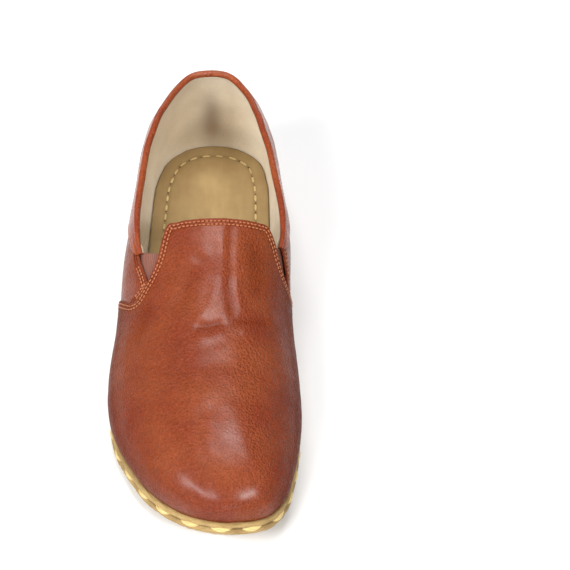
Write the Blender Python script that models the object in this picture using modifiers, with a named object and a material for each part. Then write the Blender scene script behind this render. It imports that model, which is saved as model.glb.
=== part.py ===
# A right slip-on shoe of chestnut leather on a flat sewn sole.
# Metres, +Z up, toe at -Y, big toe side at +X, sole on the floor, origin under the middle of its length.

import bpy
import bmesh
import numpy as np
from mathutils import Vector

# driving sizes of the sole
LENGTH = 0.284
BALL_WIDTH = 0.094
OUTSOLE_THICKNESS = 0.0042
WELT_THICKNESS = 0.0037
TOE_SPRING = 0.014
TOE_SPRING_START = 0.68
TOE_SPRING_POWER = 1.8
HEEL_LIFT = 0.0015
HEEL_LIFT_SHARE = 0.06
GROOVE_DEPTH = 0.0013
FLANGE = 0.003

# driving sizes of the upper
INSTEP_HEIGHT = 0.078
HEEL_HEIGHT = 0.0746
SIDE_HEIGHT = 0.061
LEATHER = 0.002
LAP_STEP = 0.0008
GORE_THICKNESS = 0.0012
INSOLE_TOP = 0.0024

# driving sizes of the roll round the collar
ROLL_RADIUS = 0.0018
ROLL_CORNER_SHARE = 0.70
ROLL_CENTRE_RISE = 0.8
ROLL_ARC = (-25, 205)
CORNER_TAPER = 0.12
BAND_DEPTH = 0.009
BAND_CORNER_SHARE = 0.45
BAND_THICKNESS = 0.0008

# room left between pieces that touch
GAP = 0.0003
FEATHER_GAP = 0.0006
GORE_GAP = 0.0006

WELT_TOP = OUTSOLE_THICKNESS + GAP + WELT_THICKNESS
FEATHER_HEIGHT = WELT_TOP + FEATHER_GAP
WELT_INSET = FLANGE + LEATHER
INSOLE_INSET = WELT_INSET + GAP

# sole edge: shares of the length from the heel, shares of the ball width towards the big toe side
OUTLINE_COLUMNS = ("from_heel", "across")
OUTLINE_OUTER = (
    (0.000, 0.000),
    (0.011, -0.160),
    (0.046, -0.290),
    (0.115, -0.372),
    (0.210, -0.400),
    (0.340, -0.420),
    (0.460, -0.452),
    (0.580, -0.500),
    (0.690, -0.535),
    (0.787, -0.508),
    (0.860, -0.422),
    (0.930, -0.300),
    (0.981, -0.120),
)
OUTLINE_TOE = (1.000, 0.110)
OUTLINE_INNER = (
    (0.982, 0.310),
    (0.940, 0.395),
    (0.880, 0.440),
    (0.790, 0.475),
    (0.690, 0.470),
    (0.580, 0.440),
    (0.460, 0.402),
    (0.340, 0.385),
    (0.210, 0.388),
    (0.115, 0.378),
    (0.050, 0.325),
    (0.014, 0.205),
)

# crown line: shares of the length, the instep height and the ball width
CROWN_COLUMNS = ("from_heel", "height", "across")
CROWN = (
    (0.10, 1.320, -0.050),
    (0.20, 1.280, -0.050),
    (0.30, 1.200, -0.035),
    (0.40, 1.085, 0.010),
    (0.47, 1.000, 0.038),
    (0.53, 0.915, 0.045),
    (0.59, 0.820, 0.050),
    (0.69, 0.715, 0.060),
    (0.80, 0.650, 0.075),
    (0.90, 0.575, 0.090),
    (1.00, 0.400, 0.110),
)

# wall sections from heel to toe: the crown station each one climbs to, how far its foot leans out in degrees,
# the reach of its lower curve as a share of the rise and of its upper curve as a share of the run;
# outer is the little toe side, inner the big toe side
SECTION_COLUMNS = ("round", "station", "outer_lean", "inner_lean", "lower", "outer_upper", "inner_upper")
SECTIONS = (
    (0.00, 0.200, 7, 7, 0.57, 0.47, 0.47),
    (0.04, 0.201, 7, 7, 0.57, 0.46, 0.46),
    (0.10, 0.214, 8, 7, 0.53, 0.41, 0.39),
    (0.19, 0.273, 15, 11, 0.57, 0.59, 0.50),
    (0.30, 0.339, 11, 12, 0.72, 0.87, 0.67),
    (0.46, 0.455, 20, 20, 0.72, 0.78, 0.88),
    (0.54, 0.534, 25, 21, 0.55, 0.68, 0.74),
    (0.62, 0.608, 27, 21, 0.55, 0.64, 0.66),
    (0.72, 0.700, 30, 23, 0.57, 0.62, 0.64),
    (0.85, 0.800, 29, 25, 0.56, 0.62, 0.62),
    (0.93, 0.850, 26, 25, 0.54, 0.60, 0.60),
    (0.97, 0.869, 24, 24, 0.53, 0.58, 0.58),
    (1.00, 0.870, 24, 24, 0.53, 0.58, 0.58),
)

# rear edge of the vamp: share up the wall, share round the edge from the heel on each side
VAMP_EDGE_COLUMNS = ("up", "outer_round", "inner_round")
VAMP_EDGE = (
    (0.00, 0.458, 0.472),
    (0.10, 0.482, 0.494),
    (0.20, 0.501, 0.512),
    (0.30, 0.519, 0.526),
    (0.40, 0.541, 0.526),
    (0.47, 0.555, 0.519),
    (0.51, 0.557, 0.511),
    (0.54, 0.550, 0.503),
    (0.57, 0.542, 0.493),
    (0.60, 0.534, 0.484),
    (0.63, 0.523, 0.476),
    (0.65, 0.514, 0.472),
    (0.67, 0.500, 0.470),
    (0.69, 0.483, 0.470),
    (0.71, 0.471, 0.471),
    (0.78, 0.467, 0.473),
    (0.88, 0.470, 0.475),
    (1.00, 0.475, 0.475),
)

# front edge of the quarter: share of its own height, share round the edge from the heel on each side
QUARTER_EDGE_COLUMNS = ("up", "outer_round", "inner_round")
QUARTER_EDGE = (
    (0.00, 0.565, 0.552),
    (0.30, 0.565, 0.543),
    (0.45, 0.563, 0.532),
    (0.58, 0.561, 0.522),
    (0.70, 0.558, 0.511),
    (0.76, 0.556, 0.505),
    (0.82, 0.553, 0.499),
    (0.88, 0.549, 0.493),
    (0.92, 0.543, 0.489),
    (0.95, 0.527, 0.487),
    (1.00, 0.484, 0.483),
)
QUARTER_HOLD = 0.480

# top line of the quarter: share round the edge from the heel, place between side height and heel height
COLLAR_COLUMNS = ("round", "towards_heel_height")
COLLAR = (
    (0.00, 1.00),
    (0.03, 1.00),
    (0.10, 0.81),
    (0.20, 0.68),
    (0.30, 0.36),
    (0.40, 0.07),
    (0.44, -0.02),
    (0.47, -0.12),
    (0.50, -0.22),
)

# gussets: the rear and front line of each, from the bottom up, as shares round the edge and up the wall
GORE_COLUMNS = ("row", "rear_round", "rear_up", "front_round", "front_up")
GORE_OUTER = (
    (0.00, 0.547, 0.478, 0.566, 0.520),
    (0.30, 0.528, 0.482, 0.562, 0.575),
    (0.65, 0.502, 0.478, 0.546, 0.640),
    (1.00, 0.474, 0.460, 0.509, 0.700),
)
GORE_INNER = (
    (0.00, 0.522, 0.247, 0.540, 0.262),
    (0.30, 0.499, 0.295, 0.539, 0.375),
    (0.65, 0.484, 0.385, 0.530, 0.490),
    (1.00, 0.472, 0.445, 0.508, 0.605),
)

# side of the sole in two layers: share of the layer's thickness, inset as a share of the groove's depth
SOLE_SIDE_COLUMNS = ("up", "inset")
OUTSOLE_SIDE = (
    (0.00, 1.15),
    (0.12, 0.45),
    (0.35, 0.00),
    (0.65, 0.05),
    (0.88, 0.45),
    (1.00, 1.00),
)
WELT_SIDE = (
    (0.00, 1.00),
    (0.15, 0.50),
    (0.45, 0.15),
    (0.75, 0.35),
    (1.00, 1.15),
)

# counts of faces
SOLE_STATIONS = 88
VAMP_ROWS = 20
VAMP_COLUMNS = 26
QUARTER_ROWS = 12
QUARTER_COLUMNS = 46
GORE_ROWS = 6
GORE_STEPS = 5
ROLL_POINTS = 8


def column(table, names, name):
    """One named column of a table as an array."""
    return np.array([row[names.index(name)] for row in table], float)


def smooth(xs, ys, x):
    """Cubic through the rows; each row's slope is the mean of its neighbours' slopes, the nearer counting more."""
    step = np.diff(xs)
    span = step if ys.ndim == 1 else step[:, None]
    grade = np.diff(ys, axis=0) / span
    slope = np.empty_like(ys)
    slope[1:-1] = (grade[:-1] * span[1:] + grade[1:] * span[:-1]) / (span[:-1] + span[1:])
    slope[0] = grade[0]
    slope[-1] = grade[-1]
    i = np.clip(np.searchsorted(xs, x, side="right") - 1, 0, len(step) - 1)
    h = step[i]
    s = (x - xs[i]) / h
    if ys.ndim == 2:
        s = s[..., None]
        h = h[..., None]
    start = (2 * s**3 - 3 * s**2 + 1) * ys[i] + (s**3 - 2 * s**2 + s) * h * slope[i]
    end = (3 * s**2 - 2 * s**3) * ys[i + 1] + (s**3 - s**2) * h * slope[i + 1]
    return start + end


def read(table, names, name, x):
    """A named column at x, between the rows of the table's first column."""
    xs = column(table, names, names[0])
    return smooth(xs, column(table, names, name), np.clip(x, xs[0], xs[-1]))


def two_sided(table, names, name, around):
    """A column that differs between the little toe side (around below 0) and the big toe side."""
    side = np.abs(around)
    return np.where(around < 0, read(table, names, "outer_" + name, side), read(table, names, "inner_" + name, side))


def sole_edge(around):
    """Point and outward direction on the sole's edge: 0 heel, -1 toe by the little toe side, +1 by the big toe side."""
    shares = np.array(OUTLINE_OUTER + (OUTLINE_TOE,) + OUTLINE_INNER)
    points = np.stack([shares[:, 1] * BALL_WIDTH, (0.5 - shares[:, 0]) * LENGTH], -1)
    ring = np.vstack([points[-3:], points, points[:4]])
    way = np.concatenate([[0.0], np.cumsum(np.linalg.norm(np.diff(ring, axis=0), axis=1))])
    heel = way[3]
    toe = way[3 + len(OUTLINE_OUTER)]
    heel_again = way[3 + len(points)]
    around = np.asarray(around, float)

    def place(a):
        return smooth(way, ring, np.where(a <= 0, heel - a * (toe - heel), heel_again + a * (toe - heel_again)))

    along = place(around + 0.001) - place(around - 0.001)
    along /= np.linalg.norm(along, axis=-1, keepdims=True)
    return place(around), np.stack([-along[..., 1], along[..., 0]], -1)


def floor_rise(y):
    """Height of the sole's underside: flat, lifting at the toe and a little under the heel's back edge."""
    share = 0.5 - y / LENGTH
    toe = TOE_SPRING * np.clip((share - TOE_SPRING_START) / (1 - TOE_SPRING_START), 0, None)**TOE_SPRING_POWER
    return toe + HEEL_LIFT * np.clip(1 - share / HEEL_LIFT_SHARE, 0, None)**2


def wall(around, up):
    """Point on the last: a cubic curve from the feather line (up = 0) over to the crown line (up = 1)."""
    around = np.asarray(around, float)
    up = np.asarray(up, float)[..., None]
    side = np.abs(around)
    edge, outward = sole_edge(around)
    foot = edge - outward * FLANGE
    station = read(SECTIONS, SECTION_COLUMNS, "station", side)
    crown_height = read(CROWN, CROWN_COLUMNS, "height", station) * INSTEP_HEIGHT
    probe = 0.01
    ahead = read(CROWN, CROWN_COLUMNS, "height", station + probe)
    behind = read(CROWN, CROWN_COLUMNS, "height", station - probe)
    crown_slope = (ahead - behind) * INSTEP_HEIGHT / (2 * probe * LENGTH)
    across = read(CROWN, CROWN_COLUMNS, "across", station) * BALL_WIDTH
    crown = np.stack([across, (0.5 - station) * LENGTH], -1)
    lean = np.radians(two_sided(SECTIONS, SECTION_COLUMNS, "lean", around))
    foot_height = FEATHER_HEIGHT + floor_rise(foot[..., 1])
    run = crown - foot
    reach = np.linalg.norm(run, axis=-1, keepdims=True)
    run = run / reach
    lower = read(SECTIONS, SECTION_COLUMNS, "lower", side) * (crown_height - foot_height)
    upper = two_sided(SECTIONS, SECTION_COLUMNS, "upper", around)[..., None] * reach
    start = np.concatenate([foot, foot_height[..., None]], -1)
    end = np.concatenate([crown, crown_height[..., None]], -1)
    rising = np.concatenate([outward * (lower * np.sin(lean))[..., None], (lower * np.cos(lean))[..., None]], -1)
    falling = np.concatenate([run, -(run[..., 1] * crown_slope)[..., None]], -1) * upper
    left = 1 - up
    return left**3 * start + 3 * left**2 * up * (start + rising) + 3 * left * up**2 * (end - falling) + up**3 * end


def wall_frame(around, up):
    """Unit vectors out of the wall and up along it, at a place below the crown line."""
    step = 0.002
    rising = wall(around, up + step) - wall(around, up - step)
    forward = wall(around + step, up) - wall(around - step, up)
    out = np.cross(rising, forward)
    out /= np.linalg.norm(out, axis=-1, keepdims=True)
    forward /= np.linalg.norm(forward, axis=-1, keepdims=True)
    return out, np.cross(forward, out)


def collar_up(around):
    """How far up the wall the top line lies, found by halving between the feather line and the crown."""
    share = read(COLLAR, COLLAR_COLUMNS, "towards_heel_height", np.abs(around))
    height = SIDE_HEIGHT + (HEEL_HEIGHT - SIDE_HEIGHT) * share
    low = np.zeros_like(height)
    high = np.ones_like(height)
    for _ in range(24):
        middle = (low + high) / 2
        below = wall(around, middle)[..., 2] < height
        low = np.where(below, middle, low)
        high = np.where(below, high, middle)
    return (low + high) / 2


def remove_everything():
    """Start from an empty scene."""
    for item in list(bpy.data.objects):
        bpy.data.objects.remove(item, do_unlink=True)


def new_collection(name):
    """A collection in the scene."""
    group = bpy.data.collections.new(name)
    bpy.context.scene.collection.children.link(group)
    return group


def material(name, colour, roughness):
    """A plain Principled material."""
    made = bpy.data.materials.new(name)
    made.use_nodes = True
    shader = made.node_tree.nodes["Principled BSDF"]
    shader.inputs["Base Color"].default_value = (*colour, 1.0)
    shader.inputs["Roughness"].default_value = roughness
    shader.inputs["Metallic"].default_value = 0.0
    return made


def add_mesh(name, points, faces, group, made):
    """An object from points and faces, doubles merged and shaded smooth."""
    shell = bmesh.new()
    verts = [shell.verts.new(point) for point in np.asarray(points).tolist()]
    for face in faces:
        shell.faces.new([verts[i] for i in face])
    bmesh.ops.remove_doubles(shell, verts=shell.verts, dist=0.000002)
    bmesh.ops.recalc_face_normals(shell, faces=shell.faces)
    inside = Vector((0.0, 0.0, FEATHER_HEIGHT + LEATHER))
    outward = sum(face.normal.dot(face.calc_center_median() - inside) for face in shell.faces)
    if outward < 0 and any(edge.is_boundary for edge in shell.edges):
        bmesh.ops.reverse_faces(shell, faces=shell.faces)
    mesh = bpy.data.meshes.new(name)
    shell.to_mesh(mesh)
    shell.free()
    mesh.shade_smooth()
    mesh.set_sharp_from_angle(angle=np.radians(40))
    item = bpy.data.objects.new(name, mesh)
    mesh.materials.append(made)
    group.objects.link(item)
    return item


def grid_faces(rows, columns, close_rows=False, close_columns=False):
    """Quads over a grid of points numbered row by row."""
    faces = []
    for r in range(rows if close_rows else rows - 1):
        for c in range(columns if close_columns else columns - 1):
            r2 = (r + 1) % rows
            c2 = (c + 1) % columns
            faces.append((r * columns + c, r * columns + c2, r2 * columns + c2, r2 * columns + c))
    return faces


def ladder_faces(first, count):
    """Rungs across one ring of points: heel point first, toe point half way round."""
    half = count // 2
    faces = [(first, first + 1, first + count - 1)]
    for i in range(1, half - 1):
        faces.append((first + i, first + i + 1, first + count - i - 1, first + count - i))
    faces.append((first + half - 1, first + half, first + half + 1))
    return faces


def sole_ring(inset, height):
    """One ring of points round the sole, inset from its edge and lifted with the floor line."""
    steps = np.arange(SOLE_STATIONS) / (SOLE_STATIONS / 2)
    around = np.where(steps <= 1, -steps, 2 - steps)
    edge, outward = sole_edge(around)
    place = edge - outward * inset
    return np.concatenate([place, (height + floor_rise(place[:, 1]))[:, None]], -1)


def layer_rings(side, bottom, thickness, groove):
    """Rings of one layer of the sole, from its side table."""
    ups = column(side, SOLE_SIDE_COLUMNS, "up")
    insets = column(side, SOLE_SIDE_COLUMNS, "inset")
    return [sole_ring(inset * groove, bottom + up * thickness) for up, inset in zip(ups, insets)]


def capped_layer(name, rings, group, made):
    """A full plate: its rings with a ladder of faces below and above."""
    faces = grid_faces(len(rings), SOLE_STATIONS, close_columns=True)
    faces += ladder_faces(0, SOLE_STATIONS)
    faces += ladder_faces((len(rings) - 1) * SOLE_STATIONS, SOLE_STATIONS)
    return add_mesh(name, np.vstack(rings), faces, group, made)


def make_outsole(group, made):
    """Thick flat leather sole with the lower lip of the stitch groove."""
    rings = layer_rings(OUTSOLE_SIDE, 0.0, OUTSOLE_THICKNESS, GROOVE_DEPTH)
    return capped_layer("outsole", rings, group, made)


def make_welt(group, made):
    """Ring under the feather line with the upper lip of the stitch groove."""
    bottom = OUTSOLE_THICKNESS + GAP
    rings = layer_rings(WELT_SIDE, bottom, WELT_THICKNESS, GROOVE_DEPTH)
    rings.append(sole_ring(WELT_INSET, WELT_TOP))
    rings.append(sole_ring(WELT_INSET, bottom))
    faces = grid_faces(len(rings), SOLE_STATIONS, close_rows=True, close_columns=True)
    return add_mesh("welt", np.vstack(rings), faces, group, made)


def make_insole(group, made):
    """Plate that fills the welt ring and rises inside the upper."""
    bottom = OUTSOLE_THICKNESS + GAP
    top = WELT_TOP + INSOLE_TOP
    rings = [sole_ring(INSOLE_INSET, bottom), sole_ring(INSOLE_INSET, top)]
    return capped_layer("insole", rings, group, made)


def thicken(item, thickness, outside):
    """Give a sheet its wall, a part of it outside the sheet."""
    made = item.modifiers.new("wall", "SOLIDIFY")
    made.thickness = thickness
    made.offset = 2 * outside / thickness - 1
    made.use_even_offset = True


def vamp_sheet(group, made):
    """The last from the vamp's rear edge to the toe, little toe side, over the crown, big toe side."""
    up = np.linspace(0, 1, VAMP_ROWS + 1)
    share = np.linspace(0, 1, VAMP_COLUMNS + 1)[:, None]
    outer_rear = read(VAMP_EDGE, VAMP_EDGE_COLUMNS, "outer_round", up)[None, :]
    inner_rear = read(VAMP_EDGE, VAMP_EDGE_COLUMNS, "inner_round", up)[None, :]
    ups = np.broadcast_to(up, (VAMP_COLUMNS + 1, len(up)))
    outer = wall(-outer_rear - (1 - outer_rear) * share, ups)
    inner = wall(inner_rear + (1 - inner_rear) * share, ups)
    points = np.concatenate([outer, inner[:, -2::-1]], 1)
    rows, columns = points.shape[:2]
    faces = grid_faces(rows, columns)
    return add_mesh("upper", points.reshape(-1, 3), faces, group, made)


def quarter_columns(level):
    """Places round the edge of the quarter's columns at one share of its height."""
    share = np.linspace(-1, 1, QUARTER_COLUMNS + 1)
    outer = read(QUARTER_EDGE, QUARTER_EDGE_COLUMNS, "outer_round", level)
    inner = read(QUARTER_EDGE, QUARTER_EDGE_COLUMNS, "inner_round", level)
    front = np.where(share < 0, outer, inner)
    return share * (QUARTER_HOLD + (front - QUARTER_HOLD) * share**4)


def quarter_sheet(group, made):
    """The last from one front edge of the quarter round the heel to the other, up to the top line."""
    levels = np.linspace(0, 1, QUARTER_ROWS + 1)
    around = np.array([quarter_columns(level) for level in levels])
    up = collar_up(around) * levels[:, None]
    points = wall(around, up)
    rows, columns = points.shape[:2]
    faces = grid_faces(rows, columns)
    return add_mesh("quarter_wall", points.reshape(-1, 3), faces, group, made)


def make_upper(group, cutters, made):
    """Vamp and quarter, each with its wall, joined where the vamp laps the quarter by a low step."""
    vamp = vamp_sheet(group, made)
    thicken(vamp, LEATHER, LAP_STEP)
    quarter = quarter_sheet(cutters, made)
    thicken(quarter, LEATHER, 0.0)
    quarter.hide_render = True
    quarter.display_type = "WIRE"
    join = vamp.modifiers.new("quarter", "BOOLEAN")
    join.operation = "UNION"
    join.object = quarter
    join.solver = "EXACT"
    return vamp


def make_gore(name, table, side, group, made):
    """Elastic gusset behind one gore opening, on the little toe side (-1) or the big toe side (+1)."""
    rows = np.linspace(0, 1, GORE_ROWS + 1)
    share = np.linspace(0, 1, GORE_STEPS + 1)[None, :]
    rear_round, rear_up, front_round, front_up = (
        read(table, GORE_COLUMNS, line, rows)[:, None] for line in GORE_COLUMNS[1:])
    around = side * (rear_round + (front_round - rear_round) * share)
    up = rear_up + (front_up - rear_up) * share
    out = wall_frame(around, up)[0]
    points = wall(around, up) - out * (LEATHER + GORE_GAP)
    faces = grid_faces(len(rows), share.size)
    gore = add_mesh(name, points.reshape(-1, 3), faces, group, made)
    thicken(gore, GORE_THICKNESS, 0.0)
    return gore


def below_collar(around, up, depth, out_by):
    """A line along the wall at one depth under the top line, held off it by a distance."""
    climb = np.linalg.norm(wall(around, up) - wall(around, up - 0.01), axis=-1) / 0.01
    lower = up - depth / climb
    return wall(around, lower) + out_by * wall_frame(around, lower)[0]


def make_binding(group, made):
    """The padded roll and its flat band, carried along the quarter's top edge from corner to corner."""
    around = quarter_columns(1.0)
    up = collar_up(around)
    edge = wall(around, up)
    out, rising = wall_frame(around, up)
    from_corner = np.clip((1 - np.abs(np.linspace(-1, 1, QUARTER_COLUMNS + 1))) / CORNER_TAPER, 0, 1)
    radius = (ROLL_CORNER_SHARE + (1 - ROLL_CORNER_SHARE) * from_corner)[:, None] * ROLL_RADIUS
    band = (BAND_CORNER_SHARE + (1 - BAND_CORNER_SHARE) * from_corner) * BAND_DEPTH
    band_out = GAP + BAND_THICKNESS
    lines = [edge - LEATHER * out + GAP * rising, edge + GAP * out + GAP * rising]
    for depth, out_by in ((0.5, GAP), (1.0, GAP), (1.0, band_out), (0.5, band_out), (GAP / BAND_DEPTH, band_out)):
        lines.append(below_collar(around, up, depth * band, out_by))
    for angle in np.radians(np.linspace(*ROLL_ARC, ROLL_POINTS)):
        across = (band_out - LEATHER) / 2 + radius * np.cos(angle)
        lines.append(edge + across * out + (GAP + radius * (ROLL_CENTRE_RISE + np.sin(angle))) * rising)
    points = np.stack(lines, 1)
    stations, count = points.shape[:2]
    faces = grid_faces(stations, count, close_columns=True)
    faces.append(tuple(range(count)))
    faces.append(tuple(range((stations - 1) * count, stations * count)))
    return add_mesh("collar_binding", points.reshape(-1, 3), faces, group, made)


def main():
    """Build the shoe."""
    remove_everything()
    shoe = new_collection("turkish_yemeni_shoe")
    cutters = new_collection("cutters")
    chestnut = material("chestnut_leather", (0.38, 0.085, 0.030), 0.42)
    buffalo = material("buffalo_leather", (0.35, 0.23, 0.09), 0.80)
    khaki = material("insole_leather", (0.48, 0.34, 0.13), 0.65)
    elastic = material("elastic_webbing", (0.18, 0.075, 0.055), 0.85)
    make_outsole(shoe, buffalo)
    make_welt(shoe, buffalo)
    make_insole(shoe, khaki)
    make_upper(shoe, cutters, chestnut)
    make_gore("gore_outer", GORE_OUTER, -1, shoe, elastic)
    make_gore("gore_inner", GORE_INNER, 1, shoe, elastic)
    make_binding(shoe, chestnut)


main()
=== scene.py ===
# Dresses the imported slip-on shoe: leather, suede lining, elastic, threads, sole edge, light and camera.
# Metres, toe at -Y, big toe side at +X, sole on the floor.
import math

import bmesh
import bpy
import numpy as np
from mathutils import Matrix, Vector


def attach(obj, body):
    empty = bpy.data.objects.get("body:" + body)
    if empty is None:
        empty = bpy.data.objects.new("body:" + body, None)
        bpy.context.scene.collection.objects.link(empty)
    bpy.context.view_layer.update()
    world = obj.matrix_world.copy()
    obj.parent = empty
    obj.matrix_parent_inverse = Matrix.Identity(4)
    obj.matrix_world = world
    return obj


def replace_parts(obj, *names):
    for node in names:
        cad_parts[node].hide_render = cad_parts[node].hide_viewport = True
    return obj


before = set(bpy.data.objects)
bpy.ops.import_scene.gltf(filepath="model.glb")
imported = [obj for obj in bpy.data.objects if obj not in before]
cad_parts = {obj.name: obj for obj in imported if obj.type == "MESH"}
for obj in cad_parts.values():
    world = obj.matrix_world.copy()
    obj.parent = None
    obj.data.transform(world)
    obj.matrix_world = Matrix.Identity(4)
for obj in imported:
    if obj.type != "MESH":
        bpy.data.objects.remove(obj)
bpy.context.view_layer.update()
mm = 0.001
print("frame loaded")


def unit(vectors):
    return vectors / np.linalg.norm(vectors, axis=-1, keepdims=True)


# way along a polyline to each of its points
def wayAlong(line):
    return np.concatenate([[0.0], np.cumsum(np.linalg.norm(np.diff(line, axis=0), axis=1))])


# cubic through rows; each row's slope is the mean of its neighbours' slopes, the nearer counting more
def smoothRows(xs, ys, x):
    step = np.diff(xs)
    span = step if ys.ndim == 1 else step[:, None]
    grade = np.diff(ys, axis=0) / span
    slope = np.empty_like(ys)
    slope[1:-1] = (grade[:-1] * span[1:] + grade[1:] * span[:-1]) / (span[:-1] + span[1:])
    slope[0] = grade[0]
    slope[-1] = grade[-1]
    i = np.clip(np.searchsorted(xs, x, side="right") - 1, 0, len(step) - 1)
    h = step[i]
    s = (x - xs[i]) / h
    if ys.ndim == 2:
        s = s[..., None]
        h = h[..., None]
    start = (2 * s**3 - 3 * s**2 + 1) * ys[i] + (s**3 - 2 * s**2 + s) * h * slope[i]
    end = (3 * s**2 - 2 * s**3) * ys[i + 1] + (s**3 - s**2) * h * slope[i + 1]
    return start + end


# a table's reader: gives the named column's value at x, by the curve through its rows
def tableReader(names, rows):
    table = np.array(rows, float)

    def read(name, x):
        return smoothRows(table[:, 0], table[:, names.index(name)], np.clip(x, table[0, 0], table[-1, 0]))

    return read


# the last, as in the solid model; the toe springs from a share of the length on
last = {
    "length": 0.284,
    "ballWidth": 0.094,
    "outsole": 0.0042,
    "welt": 0.0037,
    "toeSpring": 0.014,
    "springStart": 0.68,
    "springPower": 1.8,
    "heelLift": 0.0015,
    "liftShare": 0.06,
    "flange": 0.003,
    "instep": 0.078,
    "heelHeight": 0.0746,
    "sideHeight": 0.061,
    "leather": 0.002,
    "lap": 0.0008,
    "gap": 0.0003,
    "featherGap": 0.0006,
    "insoleTop": 0.0024,
    "quarterHold": 0.480,
}
weltTop = last["outsole"] + last["gap"] + last["welt"]
featherHeight = weltTop + last["featherGap"]
insoleInset = last["flange"] + last["leather"] + last["gap"]

# sole edge: shares of the length from the heel, shares of the ball width towards the big toe side
outlineOuter = (
    (0.000, 0.000), (0.011, -0.160), (0.046, -0.290), (0.115, -0.372), (0.210, -0.400), (0.340, -0.420),
    (0.460, -0.452), (0.580, -0.500), (0.690, -0.535), (0.787, -0.508), (0.860, -0.422), (0.930, -0.300),
    (0.981, -0.120))
outlineToe = (1.000, 0.110)
outlineInner = (
    (0.982, 0.310), (0.940, 0.395), (0.880, 0.440), (0.790, 0.475), (0.690, 0.470), (0.580, 0.440),
    (0.460, 0.402), (0.340, 0.385), (0.210, 0.388), (0.115, 0.378), (0.050, 0.325), (0.014, 0.205))

# crown line, from the heel
crownAt = tableReader(("fromHeel", "height", "across"), (
    (0.10, 1.320, -0.050), (0.20, 1.280, -0.050), (0.30, 1.200, -0.035), (0.40, 1.085, 0.010),
    (0.47, 1.000, 0.038), (0.53, 0.915, 0.045), (0.59, 0.820, 0.050), (0.69, 0.715, 0.060),
    (0.80, 0.650, 0.075), (0.90, 0.575, 0.090), (1.00, 0.400, 0.110)))

# wall sections
sectionAt = tableReader(("round", "station", "outerLean", "innerLean", "lower", "outerUpper", "innerUpper"), (
    (0.00, 0.200, 7, 7, 0.57, 0.47, 0.47),
    (0.04, 0.201, 7, 7, 0.57, 0.46, 0.46),
    (0.10, 0.214, 8, 7, 0.53, 0.41, 0.39),
    (0.19, 0.273, 15, 11, 0.57, 0.59, 0.50),
    (0.30, 0.339, 11, 12, 0.72, 0.87, 0.67),
    (0.46, 0.455, 20, 20, 0.72, 0.78, 0.88),
    (0.54, 0.534, 25, 21, 0.55, 0.68, 0.74),
    (0.62, 0.608, 27, 21, 0.55, 0.64, 0.66),
    (0.72, 0.700, 30, 23, 0.57, 0.62, 0.64),
    (0.85, 0.800, 29, 25, 0.56, 0.62, 0.62),
    (0.93, 0.850, 26, 25, 0.54, 0.60, 0.60),
    (0.97, 0.869, 24, 24, 0.53, 0.58, 0.58),
    (1.00, 0.870, 24, 24, 0.53, 0.58, 0.58)))

# rear edge of the vamp
vampEdgeAt = tableReader(("up", "outer", "inner"), (
    (0.00, 0.458, 0.472), (0.10, 0.482, 0.494), (0.20, 0.501, 0.512), (0.30, 0.519, 0.526),
    (0.40, 0.541, 0.526), (0.47, 0.555, 0.519), (0.51, 0.557, 0.511), (0.54, 0.550, 0.503),
    (0.57, 0.542, 0.493), (0.60, 0.534, 0.484), (0.63, 0.523, 0.476), (0.65, 0.514, 0.472),
    (0.67, 0.500, 0.470), (0.69, 0.483, 0.470), (0.71, 0.471, 0.471), (0.78, 0.467, 0.473),
    (0.88, 0.470, 0.475), (1.00, 0.475, 0.475)))

# front edge of the quarter
quarterEdgeAt = tableReader(("level", "outer", "inner"), (
    (0.00, 0.565, 0.552), (0.30, 0.565, 0.543), (0.45, 0.563, 0.532), (0.58, 0.561, 0.522),
    (0.70, 0.558, 0.511), (0.76, 0.556, 0.505), (0.82, 0.553, 0.499), (0.88, 0.549, 0.493),
    (0.92, 0.543, 0.489), (0.95, 0.527, 0.487), (1.00, 0.484, 0.483)))

# top line: share of the way from side height to heel height
collarAt = tableReader(("round", "height"), (
    (0.00, 1.00), (0.03, 1.00), (0.10, 0.81), (0.20, 0.68), (0.30, 0.36), (0.40, 0.07), (0.44, -0.02),
    (0.47, -0.12), (0.50, -0.22)))

# gussets
goreNames = ("row", "rearRound", "rearUp", "frontRound", "frontUp")
goreOuterRows = (
    (0.00, 0.547, 0.478, 0.566, 0.520), (0.30, 0.528, 0.482, 0.562, 0.575),
    (0.65, 0.502, 0.478, 0.546, 0.640), (1.00, 0.474, 0.460, 0.509, 0.700))
goreInnerRows = (
    (0.00, 0.522, 0.247, 0.540, 0.262), (0.30, 0.499, 0.295, 0.539, 0.375),
    (0.65, 0.484, 0.385, 0.530, 0.490), (1.00, 0.472, 0.445, 0.508, 0.605))

outlinePoints = np.array(outlineOuter + (outlineToe,) + outlineInner)
outlinePoints = np.stack([outlinePoints[:, 1] * last["ballWidth"],
                          (0.5 - outlinePoints[:, 0]) * last["length"]], -1)
outlineRing = np.vstack([outlinePoints[-3:], outlinePoints, outlinePoints[:4]])
outlineWay = wayAlong(outlineRing)
heelWay = outlineWay[3]
toeWay = outlineWay[3 + len(outlineOuter)]
heelAgainWay = outlineWay[3 + len(outlinePoints)]


# point and outward direction on the sole's edge: 0 heel, -1 toe by the little toe, +1 toe by the big toe
def soleEdge(around):
    around = np.asarray(around, float)

    def place(a):
        way = np.where(a <= 0, heelWay - a * (toeWay - heelWay), heelAgainWay + a * (toeWay - heelAgainWay))
        return smoothRows(outlineWay, outlineRing, way)

    along = unit(place(around + 0.001) - place(around - 0.001))
    return place(around), np.stack([-along[..., 1], along[..., 0]], -1)


# underside of the sole: flat, a power curve up at the toe, a little lift under the heel's back edge
def floorRise(y):
    share = 0.5 - y / last["length"]
    sprung = np.clip((share - last["springStart"]) / (1 - last["springStart"]), 0, None)
    lifted = np.clip((last["liftShare"] - share) / last["liftShare"], 0, None)
    return last["toeSpring"] * sprung**last["springPower"] + last["heelLift"] * lifted**2


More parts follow.
